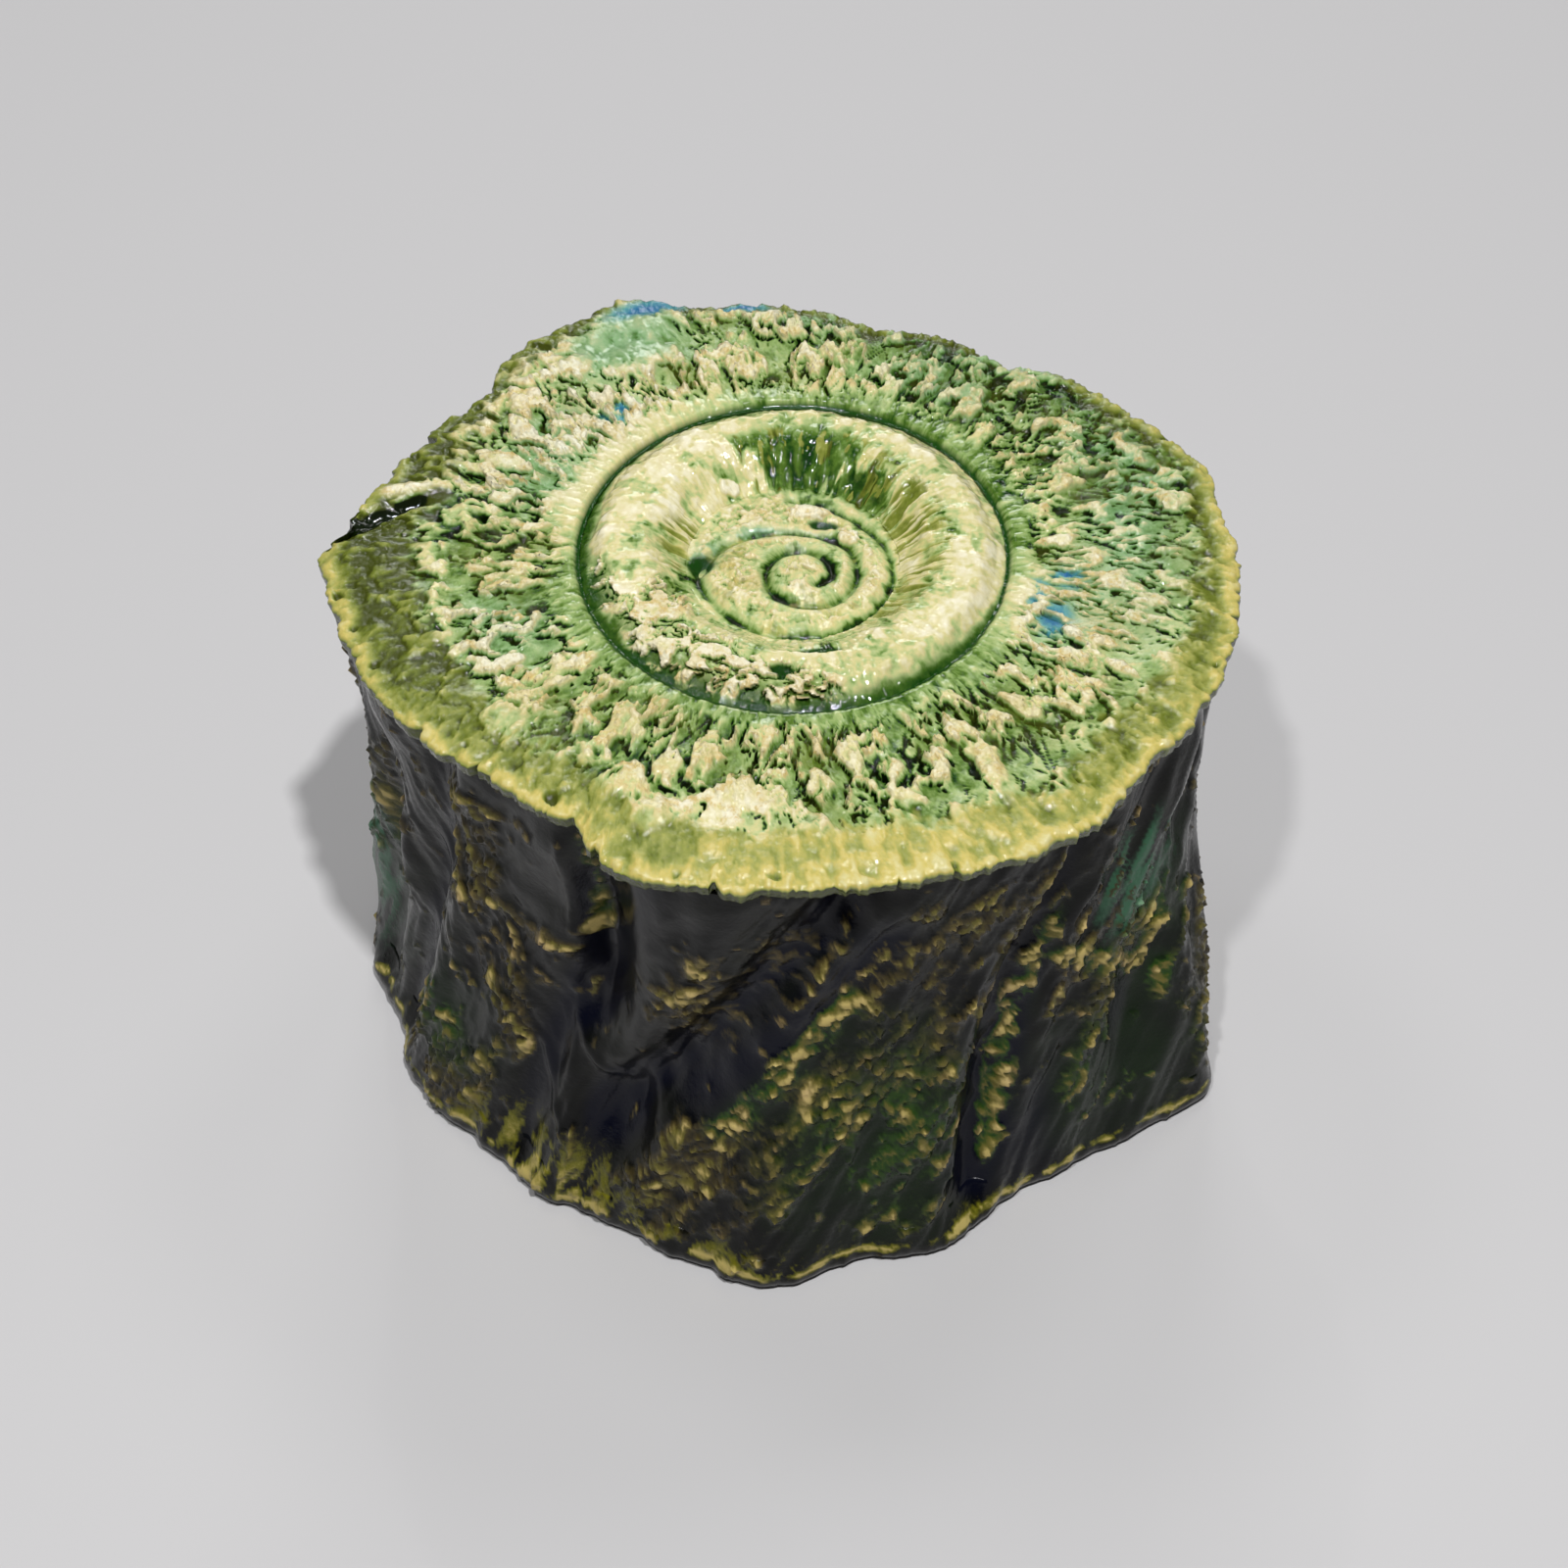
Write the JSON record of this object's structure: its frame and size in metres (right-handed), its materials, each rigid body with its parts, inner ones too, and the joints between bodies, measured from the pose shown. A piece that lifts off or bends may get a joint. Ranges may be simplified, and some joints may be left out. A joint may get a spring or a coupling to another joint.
{
  "type": "tea bowl",
  "caption": "Hand-built tea bowl stored mouth down: folded wall, torn base slab, turned foot ring with a spiral boss, and a glazed inside.",
  "frame": {"origin": "on the floor under the middle of the bowl's box; the bowl lies on its mouth with its foot up, as pictured", "axes": "+Z from the mouth up to the foot, the shortest way through the bowl; +X along its widest way across, to the right in the picture; +Y away from the viewer; turned half round X the bowl stands for use"},
  "size_m": [0.1232, 0.115, 0.0815],
  "materials": {
    "slab_glaze": "glossy mint, cream and dark green glaze over a torn clay crust, olive to yellow at the edge",
    "foot_glaze": "glossy cream glaze with green pools in the hollows and the spiral",
    "wall_glaze": "very glossy black-green glaze with olive and ochre crust",
    "lip_glaze": "glossy olive-black glaze, worn thin to ochre along the mouth",
    "lining_glaze": "smooth glossy black-green glaze",
    "clay": "unglazed buff stoneware, sealed inside the wall"
  },
  "bodies": {
    "root": {"base_slab": "slab_glaze", "wall": "wall_glaze", "lip": "lip_glaze", "foot_ring": "foot_glaze", "foot_spiral": "foot_glaze", "corner_coil": "clay", "glaze_lining": "lining_glaze"}
  },
  "joints": []
}
